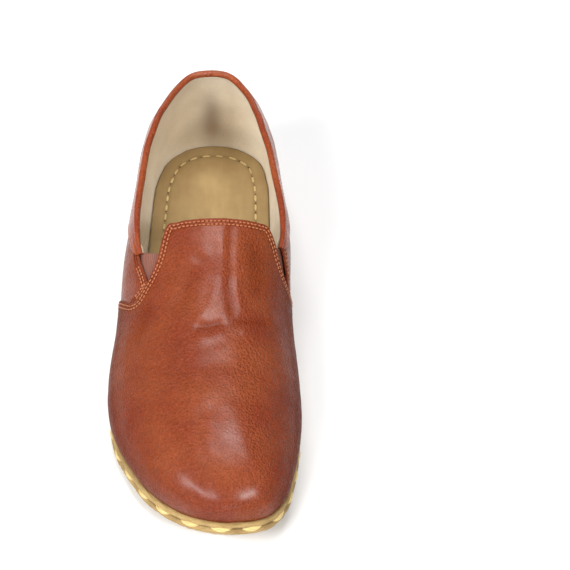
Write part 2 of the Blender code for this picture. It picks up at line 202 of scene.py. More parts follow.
# the last's surface: a cubic curve from the feather line (up 0) over to the crown line (up 1)
def lastWall(around, up):
    around = np.asarray(around, float)
    up = np.asarray(up, float)[..., None]
    side = np.abs(around)
    edge, outward = soleEdge(around)
    foot = edge - outward * last["flange"]
    station = sectionAt("station", side)
    probe = 0.01
    behind, level, ahead = (crownAt("height", station + shift) for shift in (-probe, 0, probe))
    crownHeight = level * last["instep"]
    crownSlope = (ahead - behind) * last["instep"] / (2 * probe * last["length"])
    across = crownAt("across", station) * last["ballWidth"]
    crown = np.stack([across, (0.5 - station) * last["length"]], -1)
    lean = np.radians(np.where(around < 0, sectionAt("outerLean", side), sectionAt("innerLean", side)))
    footHeight = featherHeight + floorRise(foot[..., 1])
    run = crown - foot
    reach = np.linalg.norm(run, axis=-1, keepdims=True)
    run = run / reach
    lower = sectionAt("lower", side) * (crownHeight - footHeight)
    upper = np.where(around < 0, sectionAt("outerUpper", side), sectionAt("innerUpper", side))[..., None] * reach
    start = np.concatenate([foot, footHeight[..., None]], -1)
    end = np.concatenate([crown, crownHeight[..., None]], -1)
    rising = np.concatenate([outward * (lower * np.sin(lean))[..., None], (lower * np.cos(lean))[..., None]], -1)
    falling = np.concatenate([run, -(run[..., 1] * crownSlope)[..., None]], -1) * upper
    left = 1 - up
    return (left**3 * start + 3 * left**2 * up * (start + rising)
            + 3 * left * up**2 * (end - falling) + up**3 * end)


# unit vectors of the surface: out of it, up it, and forwards round it
def wallFrame(around, up):
    step = 0.002
    rising = lastWall(around, up + step) - lastWall(around, up - step)
    forward = unit(lastWall(around + step, up) - lastWall(around - step, up))
    out = unit(np.cross(rising, forward))
    return out, np.cross(forward, out), forward


# places on the wall and the directions out of it
def wallPlace(around, up):
    return lastWall(around, up), wallFrame(around, up)[0]


# height of the top line up the wall, found by halving
def collarUp(around):
    share = collarAt("height", np.abs(around))
    height = last["sideHeight"] + (last["heelHeight"] - last["sideHeight"]) * share
    low = np.zeros_like(height)
    high = np.ones_like(height)
    for _ in range(24):
        middle = (low + high) / 2
        below = lastWall(around, middle)[..., 2] < height
        low = np.where(below, middle, low)
        high = np.where(below, high, middle)
    return (low + high) / 2


# walk from a curve on the surface, square to it and in the surface, by a real distance;
# each step solves the surface's two slopes for the move in (around, up)
def walkIn(around, up, distance, steps=6):
    around = around.copy()
    up = up.copy()
    probe = 0.001
    for _ in range(steps):
        slopeAround = (lastWall(around + probe, up) - lastWall(around - probe, up)) / (2 * probe)
        slopeUp = (lastWall(around, up + probe) - lastWall(around, up - probe)) / (2 * probe)
        along = unit(np.gradient(lastWall(around, up), axis=0))
        inward = np.cross(unit(np.cross(slopeUp, slopeAround)), along) * distance / steps
        a = np.sum(slopeAround * slopeAround, -1)
        b = np.sum(slopeAround * slopeUp, -1)
        c = np.sum(slopeUp * slopeUp, -1)
        e = np.sum(slopeAround * inward, -1)
        f = np.sum(slopeUp * inward, -1)
        det = a * c - b * b
        around += (e * c - b * f) / det
        up += (a * f - b * e) / det
    return around, up


# soft uneven field: the mean of sines that run in seeded directions at about one wavelength
def waver(points, wavelength, seed):
    rng = np.random.default_rng(seed)
    ways = rng.normal(size=(9, 3))
    ways /= np.linalg.norm(ways, axis=1, keepdims=True)
    pace = 2 * math.pi / wavelength * rng.uniform(0.7, 1.5, 9)
    phase = rng.uniform(0, 2 * math.pi, 9)
    return np.sin(points @ (ways * pace[:, None]).T + phase).mean(-1) * 1.6


# sum of such fields, each given as its height, wavelength and seed
def wavy(points, waves):
    return sum(height * waver(points, wavelength, seed) for height, wavelength, seed in waves)


def gridFaces(rows, columns, closeRows=False, closeColumns=False):
    r = np.arange(rows if closeRows else rows - 1)[:, None]
    c = np.arange(columns if closeColumns else columns - 1)[None, :]
    r2 = (r + 1) % rows
    c2 = (c + 1) % columns
    quads = np.stack([r * columns + c, r * columns + c2, r2 * columns + c2, r2 * columns + c], -1)
    return quads.reshape(-1, 4)


# quads that close a ring of points, laid across it like rungs
def ladder(first, count):
    i = np.arange(count // 2 - 1)
    return np.stack([first + i, first + i + 1, first + count - i - 2, first + count - i - 1], -1)


# an object from points and quads; doubles go, faces are turned outwards
def makePiece(name, points, faces, finish, attributes, sharp):
    points = np.asarray(points, float).reshape(-1, 3)
    mesh = bpy.data.meshes.new(name)
    mesh.from_pydata(points, [], faces)
    for label, values in attributes.items():
        layer = mesh.attributes.new(label, "FLOAT", "POINT")
        layer.data.foreach_set("value", np.asarray(values, float).ravel())
    shell = bmesh.new()
    shell.from_mesh(mesh)
    bmesh.ops.remove_doubles(shell, verts=shell.verts, dist=0.000004)
    bmesh.ops.recalc_face_normals(shell, faces=shell.faces)
    shell.to_mesh(mesh)
    shell.free()
    mesh.validate()
    mesh.shade_smooth()
    if sharp:
        mesh.set_sharp_from_angle(angle=math.radians(sharp))
    mesh.materials.append(finish)
    piece = bpy.data.objects.new(name, mesh)
    bpy.context.scene.collection.objects.link(piece)
    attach(piece, "root")
    return piece


# closed shell between an outer and an inner grid of the same size, bridged along all four borders
def shellPiece(name, outer, inner, finish, attributes, sharp=60, closeLast=True):
    rows, columns = outer.shape[:2]
    rings = np.concatenate([outer, inner[:, ::-1]], 1)
    count = 2 * columns
    faces = [gridFaces(rows, count, closeColumns=True)]
    faces += [ladder(row * count, count) for row in ((0, rows - 1) if closeLast else (0,))]
    doubled = {label: np.concatenate([values, values[:, ::-1]], 1) for label, values in attributes.items()}
    return makePiece(name, rings, np.concatenate(faces), finish, doubled, sharp)


# half thickness that closes in a half circle at an edge
def roundedHalf(thickness, distance):
    half = thickness / 2
    return half * np.sqrt(np.clip(1 - (1 - np.clip(distance / half, 0, 1))**2, 0.0004, 1))


# shortest distance from points to a polyline's points
def distanceTo(points, line):
    flat = points.reshape(-1, 3)
    best = np.full(len(flat), 1.0)
    for start in range(0, len(flat), 4000):
        part = flat[start:start + 4000]
        best[start:start + 4000] = np.sqrt(((part[:, None] - line[None])**2).sum(-1).min(1))
    return best.reshape(points.shape[:-1])


# values between the rows of a list, read at places along its way
def pickAlong(way, values, at):
    return np.stack([np.interp(at, way, values[:, k]) for k in range(3)], -1)


def denser(line, count):
    way = wayAlong(line)
    return pickAlong(way, line, np.linspace(0, way[-1], count))


# a row of stitches along a line: each is a lens carried along it, its ends sunk into the leather;
# these are the sizes of a plain one
plainStitch = {"margin": 0.0, "jitter": 0.04, "uneven": 0.06, "alongFaces": 8, "aroundFaces": 6, "taper": 0.6,
               "thinnest": 0.02, "risePower": 0.7, "ply": 0.0, "twists": 0, "tilt": 0.0}


def stitchSizes(pitch, length, width, height, lift, sink, **others):
    return {**plainStitch, "pitch": pitch, "length": length, "width": width, "height": height,
            "lift": lift, "sink": sink, **others}


def threadRow(name, line, out, sizes, finish, closed=False):
    if closed:
        line = np.vstack([line, line[:1]])
        out = np.vstack([out, out[:1]])
    way = wayAlong(line)
    room = way[-1] - 2 * sizes["margin"]
    count = max(round(room / sizes["pitch"]), 1)
    pitch = room / count
    length = sizes["length"] * pitch / sizes["pitch"]
    rng = np.random.default_rng(sizes["seed"])
    middle = sizes["margin"] + (np.arange(count) + 0.5) * pitch + rng.normal(0, sizes["jitter"], count) * pitch
    wobble = rng.normal(1, sizes["uneven"], (count, 1, 1, 1))
    rings = sizes["alongFaces"] + 1
    sides = sizes["aroundFaces"]
    u = np.linspace(0, 1, rings)
    at = middle[:, None] + (u[None, :] - 0.5) * length
    centre = pickAlong(way, line, at)
    up = unit(pickAlong(way, out, at))
    across = unit(np.cross(up, unit(np.gradient(centre, axis=1))))
    lens = np.clip(np.sin(math.pi * u)**sizes["taper"], sizes["thinnest"], None)[None, :, None, None]
    angle = np.linspace(0, 2 * math.pi, sides, endpoint=False)[None, None, :, None]
    rise = (sizes["lift"] * (4 * u * (1 - u))**sizes["risePower"] - sizes["sink"])[None, :, None, None]
    tilt = (sizes["tilt"] * (u - 0.5) * length)[None, :, None, None]
    # strand: a shallow twist round the section, as thread laid from two plies
    ply = 1 + sizes["ply"] * np.cos(2 * angle + 2 * math.pi * sizes["twists"] * u[None, :, None, None])
    flat = across[:, :, None] * (np.cos(angle) * sizes["width"] / 2 * lens * wobble * ply + tilt)
    high = up[:, :, None] * (np.sin(angle) * sizes["height"] / 2 * lens * ply + rise)
    points = centre[:, :, None] + flat + high
    size = rings * sides
    starts = (np.arange(count) * size)[:, None, None]
    caps = np.concatenate([ladder(0, sides), ladder(size - sides, sides)])
    faces = [(part[None] + starts).reshape(-1, 4) for part in (gridFaces(rings, sides, closeColumns=True), caps)]
    marks = {"along": np.broadcast_to(u[None, :, None], points.shape[:3]),
             "side": np.broadcast_to(angle[..., 0] / (2 * math.pi), points.shape[:3])}
    return makePiece(name, points, np.concatenate(faces), finish, marks, None)


# materials: colours in linear light, noise scales per metre, bump distances in metres

# gives a node's inputs their values, by a link where the value is another node's output
def feed(tree, node, inputs):
    for key, value in inputs.items():
        if isinstance(value, bpy.types.NodeSocket):
            tree.links.new(value, node.inputs[key])
        else:
            isColour = node.inputs[key].type == "RGBA"
            node.inputs[key].default_value = (*value, 1.0) if isColour else value


def addNode(tree, kind, settings, inputs):
    node = tree.nodes.new(kind)
    for key, value in settings.items():
        setattr(node, key, value)
    feed(tree, node, inputs)
    return node


def objectPlace(tree, scale=(1.0, 1.0, 1.0)):
    place = addNode(tree, "ShaderNodeTexCoord", {}, {}).outputs["Object"]
    return addNode(tree, "ShaderNodeMapping", {}, {"Vector": place, "Scale": scale}).outputs["Vector"]


def readMark(tree, name):
    return addNode(tree, "ShaderNodeAttribute", {"attribute_name": name}, {}).outputs["Fac"]


def noiseField(tree, place, scale, detail, roughness):
    inputs = {"Vector": place, "Scale": scale, "Detail": detail, "Roughness": roughness}
    return addNode(tree, "ShaderNodeTexNoise", {}, inputs).outputs["Fac"]


def stretchBand(tree, value, low, high, toLow=0.0, toHigh=1.0):
    inputs = {"Value": value, "From Min": low, "From Max": high, "To Min": toLow, "To Max": toHigh}
    return addNode(tree, "ShaderNodeMapRange", {"clamp": True}, inputs).outputs["Result"]


def noiseBand(tree, place, noise, band):
    return stretchBand(tree, noiseField(tree, place, *noise), *band)


def mixColour(tree, amount, first, second):
    return addNode(tree, "ShaderNodeMix", {"data_type": "RGBA"}, {0: amount, 6: first, 7: second}).outputs[2]


# a mix of two colours, then more colours laid over it by their amounts
def layered(tree, amount, first, second, *layers):
    colour = mixColour(tree, amount, first, second)
    for cover, tint in layers:
        colour = mixColour(tree, cover, colour, tint)
    return colour


def multiply(tree, first, second):
    return addNode(tree, "ShaderNodeMath", {"operation": "MULTIPLY"}, {0: first, 1: second}).outputs[0]


def addBump(tree, height, distance, under=None):
    inputs = {"Height": height, "Distance": distance, "Strength": 1.0}
    if under is not None:
        inputs["Normal"] = under
    return addNode(tree, "ShaderNodeBump", {}, inputs).outputs["Normal"]


def toned(colour, tone):
    return tuple(part * tone for part in colour)


def newFinish(name):
    made = bpy.data.materials.new(name)
    made.use_nodes = True
    return made, made.node_tree, objectPlace(made.node_tree)


def dressShader(made, inputs):
    feed(made.node_tree, made.node_tree.nodes["Principled BSDF"], inputs)
    return made


# chestnut aniline leather: mottled brown over orange, darker where the mark "shade" paints shade,
# with pebble grain from cells, finer pores, and a soft polish
def chestnutLeather(name, tone=0.90, polish=0.34):
    made, tree, place = newFinish(name)
    shade = readMark(tree, "shade")
    cloud = noiseBand(tree, place, (38.0, 3.0, 0.55), (0.35, 0.68))
    blotch = noiseBand(tree, place, (150.0, 4.0, 0.6), (0.35, 0.70))
    fleck = noiseBand(tree, place, (1150.0, 3.0, 0.6), (0.40, 0.65))
    gloss = noiseBand(tree, place, (62.0, 2.0, 0.5), (0.36, 0.64, 0.50, 1.20))
    dark = toned((0.095, 0.013, 0.004), tone)
    colour = layered(tree, cloud, toned((0.240, 0.037, 0.009), tone), toned((0.325, 0.070, 0.018), tone),
                     (multiply(tree, blotch, 0.24), dark), (multiply(tree, fleck, 0.26), dark), (shade, dark))
    pebbles = {"Vector": place, "Scale": 950.0, "Smoothness": 0.6, "Randomness": 1.0}
    cells = addNode(tree, "ShaderNodeTexVoronoi", {"feature": "SMOOTH_F1"}, pebbles).outputs["Distance"]
    bump = addBump(tree, noiseField(tree, place, 260.0, 2.0, 0.5), 0.00034)
    bump = addBump(tree, cells, 0.0009, bump)
    bump = addBump(tree, noiseField(tree, place, 2600.0, 3.0, 0.6), 0.00028, bump)
    return dressShader(made, {
        "Base Color": colour, "Normal": bump, "Coat Roughness": 0.25, "Coat IOR": 1.38,
        "Roughness": stretchBand(tree, blotch, 0.0, 1.0, polish - 0.05, polish + 0.10),
        "Specular IOR Level": stretchBand(tree, shade, 0.05, 0.50, 0.15, 0.02),
        "Coat Weight": multiply(tree, stretchBand(tree, shade, 0.05, 0.50, 0.60, 0.02), gloss)})


# suede lining: pale beige nap, cloudy, darker by the mark "shade", which holds painted shade in the heel cup
def suedeLining():
    made, tree, place = newFinish("suedeLining")
    nap = noiseBand(tree, place, (900.0, 5.0, 0.7), (0.35, 0.68))
    cloud = noiseBand(tree, place, (55.0, 3.0, 0.6), (0.35, 0.68))
    colour = layered(tree, cloud, (0.82, 0.71, 0.54), (0.91, 0.83, 0.67),
                     (multiply(tree, nap, 0.35), (0.72, 0.60, 0.43)),
                     (readMark(tree, "shade"), (0.17, 0.098, 0.045)))
    return dressShader(made, {
        "Base Color": colour, "Normal": addBump(tree, nap, 0.00018), "Roughness": 0.92,
        "Specular IOR Level": 0.2, "Sheen Weight": 0.25, "Sheen Roughness": 0.5})


# insole: khaki smooth leather with faint wipes along it, darker where "shade" paints shade
def khakiLeather():
    made, tree, place = newFinish("khakiLeather")
    streak = noiseBand(tree, objectPlace(tree, (1.0, 0.25, 1.0)), (210.0, 4.0, 0.6), (0.45, 0.75, 0.0, 0.30))
    cloud = noiseBand(tree, place, (45.0, 3.0, 0.55), (0.35, 0.68))
    colour = layered(tree, cloud, (0.360, 0.242, 0.105), (0.435, 0.306, 0.140),
                     (streak, (0.54, 0.40, 0.20)), (readMark(tree, "shade"), (0.10, 0.060, 0.022)))
    grain = addBump(tree, noiseField(tree, place, 1700.0, 4.0, 0.6), 0.0001)
    return dressShader(made, {
        "Base Color": colour, "Normal": grain, "Roughness": 0.55, "Specular IOR Level": 0.35})


# raw cut edge of thick hide: layered tan fibres drawn out along the floor, rough and dry, darker where "shade"
# paints shade
def rawHide(name, light):
    made, tree, place = newFinish(name)
    layers = noiseField(tree, objectPlace(tree, (0.35, 0.35, 2.4)), 700.0, 5.0, 0.65)
    crumbs = noiseField(tree, place, 1500.0, 4.0, 0.7)
    cloud = noiseBand(tree, place, (75.0, 3.0, 0.6), (0.35, 0.68))
    colour = layered(tree, cloud, toned((0.300, 0.190, 0.072), light), toned((0.420, 0.285, 0.115), light),
                     (stretchBand(tree, layers, 0.42, 0.70, 0.0, 0.55), (0.55, 0.40, 0.18)),
                     (stretchBand(tree, crumbs, 0.50, 0.75, 0.0, 0.6), (0.13, 0.075, 0.028)),
                     (readMark(tree, "shade"), (0.075, 0.042, 0.017)))
    bump = addBump(tree, crumbs, 0.00022, addBump(tree, layers, 0.00035))
    return dressShader(made, {
        "Base Color": colour, "Normal": bump, "Roughness": 0.86, "Specular IOR Level": 0.25})


# thread: streaks along its plies, from the marks "along" and "side"
def threadFinish(name, colour, deep, roughness, streaks):
    made, tree, _ = newFinish(name)
    marks = {"X": readMark(tree, "along"), "Y": readMark(tree, "side")}
    spot = addNode(tree, "ShaderNodeCombineXYZ", {}, marks).outputs["Vector"]
    drawn = {"Vector": spot, "Scale": (1.2, streaks, 1.0)}
    turned = addNode(tree, "ShaderNodeMapping", {}, drawn).outputs["Vector"]
    fibre = noiseBand(tree, turned, (3.0, 3.0, 0.6), (0.35, 0.70))
    return dressShader(made, {"Base Color": mixColour(tree, fibre, colour, deep),
                              "Normal": addBump(tree, fibre, 0.00012), "Roughness": roughness})


# elastic: mauve brown ribs from the mark "rib", with a fine weft
def elasticFinish():
    made, tree, place = newFinish("elasticWebbing")
    weft = noiseField(tree, place, 2200.0, 2.0, 0.6)
    colour = layered(tree, readMark(tree, "rib"), (0.105, 0.033, 0.022), (0.235, 0.083, 0.052),
                     (stretchBand(tree, weft, 0.4, 0.7, 0.0, 0.4), (0.29, 0.12, 0.080)))
    return dressShader(made, {"Base Color": colour, "Normal": addBump(tree, weft, 0.00012),
                              "Roughness": 0.85, "Sheen Weight": 0.1})


vampFinish = chestnutLeather("vampLeather")
quarterFinish = chestnutLeather("quarterLeather", 0.93, 0.34)
bindingFinish = chestnutLeather("bindingLeather", 1.15, 0.30)
liningFinish = suedeLining()
insoleFinish = khakiLeather()
outsoleFinish = rawHide("outsoleHide", 1.08)
weltFinish = rawHide("weltHide", 1.16)
stitchFinish = threadFinish("brownStitch", (0.560, 0.210, 0.085), (0.340, 0.090, 0.032), 0.45, 6.0)
insoleThread = threadFinish("insoleThread", (0.800, 0.640, 0.320), (0.560, 0.410, 0.160), 0.60, 5.0)
holeShadowFinish = threadFinish("stitchHoleShadow", (0.085, 0.045, 0.018), (0.045, 0.022, 0.008), 0.8, 3.0)
soleThread = threadFinish("waxedThread", (0.800, 0.640, 0.270), (0.540, 0.370, 0.120), 0.50, 7.0)
elastic = elasticFinish()
print("finishes made")

# vamp: the wall moved out by the lap, with creases, waves, and a pucker under each row of the seam;
# waves as height, wavelength and seed, shades as shares of the dark colour, painted as shade in the creases,
# along the stitch rows and at the sides, and as darkening just above the feather line
vamp = {
    "leather": 0.0012,
    "waves": ((0.0002, 0.034, 11), (0.00007, 0.011, 12)),
    "liningFaces": (0.00048, 0.0012),
    "firstRow": 0.0016,
    "secondRow": 0.0034,
    "pucker": 0.00022,
    "puckerWidth": 0.0005,
    "shadeWidth": 0.00045,
    "creasedFrom": 0.0005,
    "creasedOver": 0.006,
    "foldDepth": 0.0016,
    "foldShade": 0.28,
    "rowShade": 0.62,
    "sideShade": 0.70,
    "footShade": 0.45,
    "stitch": stitchSizes(0.0021, 0.00185, 0.0008, 0.00052, 0.0002, 0.00014, margin=0.0012),
}

# soft troughs (below 0) and ridges of the vamp, in mm: depth, width, and points as (across, from the heel)
vampCreases = (
    (-0.48, 2.9, ((9.3, 132), (8.7, 158), (9.5, 176), (11.0, 192))),
    (0.40, 3.2, ((4.0, 133), (4.6, 155), (1.5, 173), (-3.0, 183))),
    (0.38, 2.9, ((13.8, 134), (12.4, 158), (13.1, 172), (17.8, 181))),
    (-0.52, 2.3, ((-8.0, 188.5), (-1.0, 188.4), (7.0, 186.2))),
    (0.35, 3.2, ((-9.0, 194), (-1.0, 194.5), (7.0, 191.5))),
    (0.30, 3.0, ((-9.0, 182.5), (-2.0, 182.5))),
    (-0.40, 2.2, ((11.0, 186), (18.0, 184.3), (28.0, 180.8))),
    (0.25, 3.4, ((14.0, 191), (22.0, 189.5))),
    (0.40, 5.5, ((-11.0, 150), (-20.0, 163), (-26.0, 176))),
    (-0.35, 5.0, ((-7.0, 156), (-12.0, 168), (-17.0, 181))),
    (-0.45, 5.0, ((19.5, 139), (21.5, 158), (24.0, 172))),
    (0.28, 3.0, ((25.0, 160), (28.0, 172), (30.0, 182))),
    (-0.30, 4.0, ((-27.0, 166), (-33.0, 180), (-37.0, 192))),
    (0.25, 6.0, ((-14.0, 205), (4.0, 202), (20.0, 200))),
)


# relief of creases: each one's depth times a bell curve of the distance to its path, fading at both ends;
# the points are in units of so many metres, the widths and depths in mm
def creaseRelief(points, metres, creases, findPath, slack):
    relief = np.zeros(points.shape[:-1])
    for depth, width, corners in creases:
        path = findPath(np.array(corners, float))
        near = np.full(relief.shape, np.inf)
        where = np.zeros(relief.shape)
        for i in range(len(path)):
            gone = np.linalg.norm(points - path[i], axis=-1)
            closer = gone < near
            near = np.where(closer, gone, near)
            where = np.where(closer, i / (len(path) - 1), where)
        fade = np.clip(slack - np.abs(2 * where - 1)**3, 0, 1)
        relief += depth * mm * fade * np.exp(-(near / (width * mm / metres))**2)
    return relief


# path through a crease's corners in the plan view
def planPath(corners):
    way = wayAlong(corners)
    return smoothRows(way, corners, np.linspace(0, way[-1], 36))


# painted shade for the leather: more at the shoe's sides, where less light falls; darker just above the feather
# line
def leatherShade(shade, base, out, part, fading=0.0035, darkest=0.75):
    above = np.clip(base[..., 2] - (featherHeight + floorRise(base[..., 1])), 0, None)
    shade = shade + part["sideShade"] * np.abs(out[..., 0])**3
    return np.clip(shade + part["footShade"] * np.exp(-above / fading), 0, darkest)


# places of the vamp: over it from the outer side to the inner, and from its rear edge (share 0) to the toe
def vampPlaces(up, shares):
    outerRear, innerRear = (vampEdgeAt(side, up)[None, :] for side in ("outer", "inner"))
    share = shares[:, None]
    outer = -(outerRear + (1 - outerRear) * share)
    inner = (innerRear + (1 - innerRear) * share)[:, -2::-1]
    ups = np.broadcast_to(up, outer.shape)
    return np.concatenate([outer, inner], 1), np.concatenate([ups, ups[:, -2::-1]], 1)


edgeShares = np.concatenate([[0, 0.0002, 0.0005, 0.0009, 0.0014, 0.0021], np.arange(0.003, 0.052, 0.0018)])
vampShares = np.concatenate([edgeShares, np.linspace(0.054, 1, 150)])
vampAround, vampUp = vampPlaces(np.linspace(-0.012, 1, 88), vampShares)
vampBase, vampOut = wallPlace(vampAround, vampUp)
edgeAround, edgeUp = (values[0] for values in vampPlaces(np.linspace(0, 1, 420), np.zeros(1)))
vampEdgeLine = denser(lastWall(edgeAround, edgeUp), 900)
edgeRows = len(edgeShares) + 8
fromEdge = np.full(vampAround.shape, 0.05)
fromEdge[:edgeRows] = distanceTo(vampBase[:edgeRows], vampEdgeLine)

vampPlan = np.stack([vampBase[..., 0], last["length"] / 2 - vampBase[..., 1]], -1) / mm
folds = creaseRelief(vampPlan, mm, vampCreases, planPath, 1.15)
relief = folds * np.clip((fromEdge - vamp["creasedFrom"]) / vamp["creasedOver"], 0.25, 1)
relief += wavy(vampBase, vamp["waves"])
# painted shade: in the troughs of the creases, and along the puckers under the stitch rows
shade = np.clip(-folds / vamp["foldDepth"], 0, vamp["foldShade"])
for row in (vamp["firstRow"], vamp["secondRow"]):
    relief -= vamp["pucker"] * np.exp(-((fromEdge - row) / vamp["puckerWidth"])**2)
    shade += vamp["rowShade"] * np.exp(-((fromEdge - row) / vamp["shadeWidth"])**2)
# painted shade at the sides, and darker just above the feather line
shade = leatherShade(shade, vampBase, vampOut, vamp)
half = roundedHalf(vamp["leather"], fromEdge)
middle = vampBase + vampOut * (last["lap"] - vamp["leather"] / 2)
vampOuter = middle + vampOut * (half + relief)[..., None]
vampInner = middle - vampOut * (half - np.minimum(relief, 0))[..., None]
vampPiece = shellPiece("vamp_leather", vampOuter, vampInner, vampFinish, {"shade": shade}, 70, closeLast=False)

# lining of the vamp, short of its edge
liningShares = np.concatenate([[0.004, 0.006, 0.009], np.linspace(0.015, 1, 60)])
liningBase, liningOut = wallPlace(*vampPlaces(np.linspace(-0.012, 1, 46), liningShares))
outer, inner = (liningBase - liningOut * depth for depth in vamp["liningFaces"])
vampLining = shellPiece("vamp_lining", outer, inner, liningFinish,
                        {"shade": np.full(outer.shape[:2], 0.10)}, closeLast=False)
print("vamp made")

for number, distance in enumerate((vamp["firstRow"], vamp["secondRow"])):
    sizes = dict(vamp["stitch"], seed=20 + number)
    place, out = (values[14:-14] for values in wallPlace(*walkIn(edgeAround, edgeUp, -distance)))
    line = place + out * last["lap"]
    threadRow("vamp_stitch_%d" % (number + 1), line, out, sizes, stitchFinish)

# quarter: the wall itself, with wrinkles, waves and puckers, pressed in where the vamp covers it;
# its lining's painted shadows as darkness, then place and half width round it, then up it
quarter = {
    "leather": 0.0012,
    "waves": ((0.00024, 0.038, 21), (0.00006, 0.012, 22)),
    "liningFaces": (0.00125, 0.002),
    "liningBend": 0.0021,
    "bendStart": 0.440,
    "bendSpan": 0.028,
    "nap": (0.00015, 0.016, 31),
    "clouds": (0.050, 0.020, 32),
    "paintedShadows": ((0.60, -0.001, 0.021, 0.34, 0.28), (0.32, 0.0, 0.070, 0.15, 0.13),
                (0.12, -0.01, 0.055, 0.40, 0.30)),
    "stripRow": 0.0016,
    "secondStripRow": 0.0032,
    "pucker": 0.00018,
    "puckerWidth": 0.0005,
    "wrinkledOver": 0.01,
    "pressedIn": 0.0005,
    "foldDepth": 0.0012,
    "foldShade": 0.35,
    "rowShade": 0.50,
    "sideShade": 0.26,
    "footShade": 0.40,
    "stitch": stitchSizes(0.0022, 0.00195, 0.00078, 0.0005, 0.00018, 0.00013, margin=0.0008),
}

# wrinkles of the quarter as places on the surface: depth, width in mm, and points as (around, level)
quarterCreases = (
    (-0.50, 3.5, ((-0.47, 0.35), (-0.42, 0.44), (-0.36, 0.48))),
    (0.35, 4.0, ((-0.46, 0.55), (-0.40, 0.60), (-0.33, 0.60))),
    (-0.45, 3.5, ((0.47, 0.32), (0.41, 0.42), (0.34, 0.46))),
    (0.35, 4.0, ((0.46, 0.52), (0.40, 0.57), (0.32, 0.58))),
    (-0.35, 4.5, ((-0.16, 0.62), (-0.10, 0.52), (-0.05, 0.30))),
    (-0.35, 4.5, ((0.17, 0.60), (0.11, 0.50), (0.06, 0.28))),
    (0.30, 7.0, ((-0.28, 0.30), (-0.20, 0.24), (-0.12, 0.22))),
    (0.30, 7.0, ((0.28, 0.30), (0.20, 0.24), (0.12, 0.22))),
)


# path through a crease's corners on the wall
def wallPath(corners):
    around, level = smoothRows(np.arange(float(len(corners))), corners, np.linspace(0, len(corners) - 1, 30)).T
    return lastWall(around, collarUp(around) * level)


# places of the quarter: round it by share (-1 to 1) and up it by level
def quarterPlaces(shares, levels):
    share = shares[None, :]
    level = levels[:, None]
    front = np.where(share < 0, quarterEdgeAt("outer", level), quarterEdgeAt("inner", level))
    around = share * (last["quarterHold"] + (front - last["quarterHold"]) * share**4)
    return around, collarUp(around) * level


endShares = np.concatenate([[0, 0.0002, 0.0005, 0.0009, 0.0014, 0.002], np.arange(0.003, 0.030, 0.0016)])
quarterShares = np.concatenate([-1 + endShares, np.linspace(-0.968, 0.968, 250), 1 - endShares[::-1]])
quarterLevels = np.concatenate([[-0.014], np.linspace(0, 1, 66)])
quarterAround, quarterUp = quarterPlaces(quarterShares, quarterLevels)
quarterBase, quarterOut = wallPlace(quarterAround, quarterUp)
endColumns = len(endShares) + 8
fromFront = np.full(quarterAround.shape, 0.05)
frontEnds = []
levelLine = np.linspace(0, 1, 300)
for side, end in ((-1.0, np.s_[:, :endColumns]), (1.0, np.s_[:, -endColumns:])):
    around, up = quarterPlaces(np.array([side]), levelLine)
    frontEnds.append((around[:, 0], up[:, 0]))
    fromFront[end] = distanceTo(quarterBase[end], denser(lastWall(*frontEnds[-1]), 600))
quarterRelief = creaseRelief(quarterBase, 1.0, quarterCreases, wallPath, 1.1)
# painted shade in the troughs of the wrinkles
quarterShade = np.clip(-quarterRelief / quarter["foldDepth"], 0, quarter["foldShade"])
quarterRelief += wavy(quarterBase, quarter["waves"])
underTop = 1.02 - quarterUp / collarUp(quarterAround)
quarterRelief *= np.clip(fromFront / quarter["wrinkledOver"], 0, 1) * np.clip(underTop / 0.2, 0, 1)
# painted shade along the puckers under the stitch rows
for row in (quarter["stripRow"], quarter["secondStripRow"]):
    groove = np.exp(-((fromFront - row) / quarter["puckerWidth"])**2)
    quarterRelief -= quarter["pucker"] * groove
    quarterShade += quarter["rowShade"] * groove
vampRear = np.where(quarterAround < 0, vampEdgeAt("outer", quarterUp), vampEdgeAt("inner", quarterUp))
underVamp = np.clip((np.abs(quarterAround) - vampRear) / 0.006, 0, 1)
half = roundedHalf(quarter["leather"], fromFront)
middle = quarterBase - quarterOut * (quarter["leather"] / 2 + quarter["pressedIn"] * underVamp)[..., None]
quarterOuter = middle + quarterOut * (half + quarterRelief)[..., None]
quarterInner = middle - quarterOut * half[..., None]
# painted shade at the sides, and darker just above the feather line
quarterShade = leatherShade(quarterShade, quarterBase, quarterOut, quarter)
quarterPiece = shellPiece("quarter_leather", quarterOuter, quarterInner, quarterFinish,
                          {"shade": quarterShade}, 70)

# suede lining of the quarter: the wall moved in by two depths, further in behind the gussets;
# each painted shadow (the streak down the heel cup, the pool low in it, a wider faint one) is a bell curve round
# it and up it
liningLevel = np.linspace(-0.01, 1.0, 40)
liningAround, liningUp = quarterPlaces(np.linspace(-0.975, 0.975, 220), liningLevel)
liningBase, liningOut = wallPlace(liningAround, liningUp)
bend = quarter["liningBend"] * np.clip((np.abs(liningAround) - quarter["bendStart"]) / quarter["bendSpan"], 0, 1)
liningShade = 0.01 + wavy(liningBase, [quarter["clouds"]])
for darkness, around, wide, level, high in quarter["paintedShadows"]:
    upward = (liningLevel[:, None] - level) / high
    liningShade += darkness * np.exp(-((liningAround - around) / wide)**2 - upward**2)
outerDepth, innerDepth = quarter["liningFaces"]
innerDepth = innerDepth + bend + wavy(liningBase, [quarter["nap"]])
quarterLining = shellPiece("quarter_lining", liningBase - liningOut * (outerDepth + bend)[..., None],
                           liningBase - liningOut * innerDepth[..., None],
                           liningFinish, {"shade": np.clip(liningShade, 0, 0.8)})
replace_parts(vampPiece, "upper")
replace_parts(quarterPiece, "upper")
print("quarter made")

